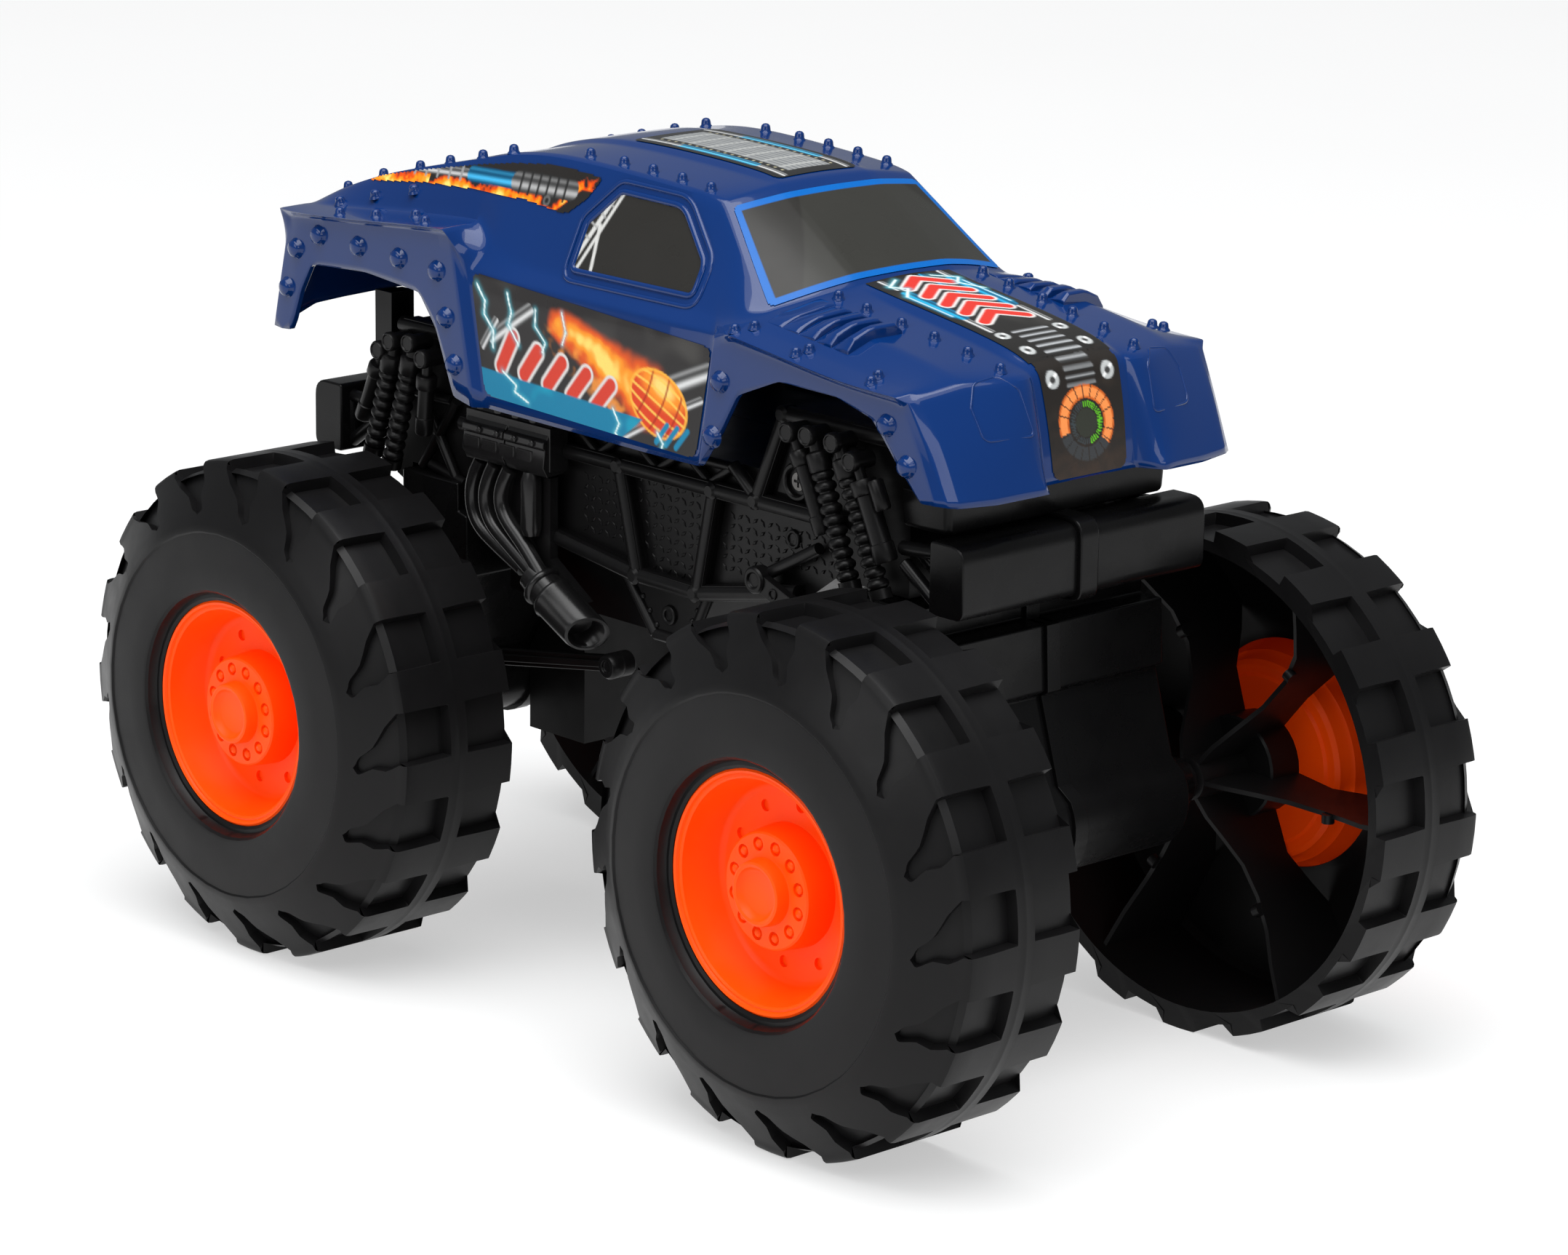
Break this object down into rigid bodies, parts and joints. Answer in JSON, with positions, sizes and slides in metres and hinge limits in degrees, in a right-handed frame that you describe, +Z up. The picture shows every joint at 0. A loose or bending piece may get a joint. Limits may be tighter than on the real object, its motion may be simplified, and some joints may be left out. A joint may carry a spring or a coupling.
{
  "type": "toy monster truck",
  "caption": "Radio-controlled toy monster truck: moulded pickup shell on a tall chassis with dummy shocks, rigid axles, four oversized lugged wheels, geared rear drive and battery bay",
  "frame": {"origin": "on the floor, at the middle of the truck's footprint", "axes": "+Z is up, the front of the truck faces -Y, the truck's left side is at +X"},
  "size_m": [0.2202, 0.381, 0.2476],
  "materials": {
    "body_paint": "glossy deep blue moulded body, printed decals",
    "black_plastic": "black moulded plastic with a fine satin texture",
    "tyre_rubber": "matte charcoal soft plastic tyre",
    "orange_plastic": "bright orange-red satin plastic",
    "steel": "plated steel",
    "nylon": "natural white nylon",
    "circuit_board": "green laminate with solder mask"
  },
  "bodies": {
    "chassis": {"body_shell": "body_paint", "chassis_left": "black_plastic", "chassis_right": "black_plastic", "front_bumper": "black_plastic", "rear_bumper": "black_plastic", "nose_support": "black_plastic", "motor_cover": "black_plastic", "battery_box": "black_plastic", "engine_left": "black_plastic", "shocks_front_left": "black_plastic", "link_front_left": "black_plastic", "front_housing_left": "black_plastic", "shocks_rear_left": "black_plastic", "link_rear_left": "black_plastic", "rear_housing_left": "black_plastic", "axle_bush_front_left": "black_plastic", "chassis_screw_front_left": "steel", "axle_bush_rear_left": "black_plastic", "chassis_screw_rear_left": "steel", "engine_right": "black_plastic", "shocks_front_right": "black_plastic", "link_front_right": "black_plastic", "front_housing_right": "black_plastic", "shocks_rear_right": "black_plastic", "link_rear_right": "black_plastic", "rear_housing_right": "black_plastic", "axle_bush_front_right": "black_plastic", "chassis_screw_front_right": "steel", "axle_bush_rear_right": "black_plastic", "chassis_screw_rear_right": "steel", "compound_gear_pin": "steel", "motor": "steel", "switch_body": "steel", "cell_1": "steel", "cell_2": "steel", "cell_3": "steel", "cell_4": "steel", "receiver_board": "circuit_board"},
    "front_axle": {"front_axle_rod": "steel", "tyre_front_left": "tyre_rubber", "tyre_front_right": "tyre_rubber", "rim_front_left": "orange_plastic", "rim_front_right": "orange_plastic"},
    "rear_axle": {"rear_axle_rod": "steel", "rear_axle_gear": "nylon", "tyre_rear_left": "tyre_rubber", "tyre_rear_right": "tyre_rubber", "rim_rear_left": "orange_plastic", "rim_rear_right": "orange_plastic"},
    "compound_gear": {"compound_gear": "nylon"},
    "motor_pinion": {"motor_pinion": "nylon"},
    "power_switch": {"switch_knob": "black_plastic"},
    "battery_door": {"battery_door": "black_plastic", "battery_door_screw": "steel"}
  },
  "joints": [
    {"name": "rear_axle_spin", "type": "hinge", "parent": "chassis", "child": "rear_axle", "pos_m": [0, 0.11525, 0.075], "axis": [1, 0, 0], "continuous": true},
    {"name": "front_axle_spin", "type": "hinge", "parent": "chassis", "child": "front_axle", "pos_m": [0, -0.11525, 0.075], "axis": [1, 0, 0], "continuous": true},
    {"name": "compound_gear_spin", "type": "hinge", "parent": "chassis", "child": "compound_gear", "pos_m": [0, 0.10122, 0.0846], "axis": [1, 0, 0], "continuous": true},
    {"name": "motor_spin", "type": "hinge", "parent": "chassis", "child": "motor_pinion", "pos_m": [0, 0.08602, 0.07961], "axis": [1, 0, 0], "continuous": true},
    {"name": "power_switch_slide", "type": "slide", "parent": "chassis", "child": "power_switch", "axis": [1, 0, 0], "range_m": [-0.0025, 0.0025]},
    {"name": "battery_door_hinge", "type": "hinge", "parent": "chassis", "child": "battery_door", "pos_m": [0, 0.0103, 0.11], "axis": [-1, 0, 0], "range_deg": [0, 95]}
  ],
  "couplings": [
    {"joint": "compound_gear_spin", "follows": "rear_axle_spin", "ratio": -2.4},
    {"joint": "motor_spin", "follows": "rear_axle_spin", "ratio": 7.2}
  ]
}
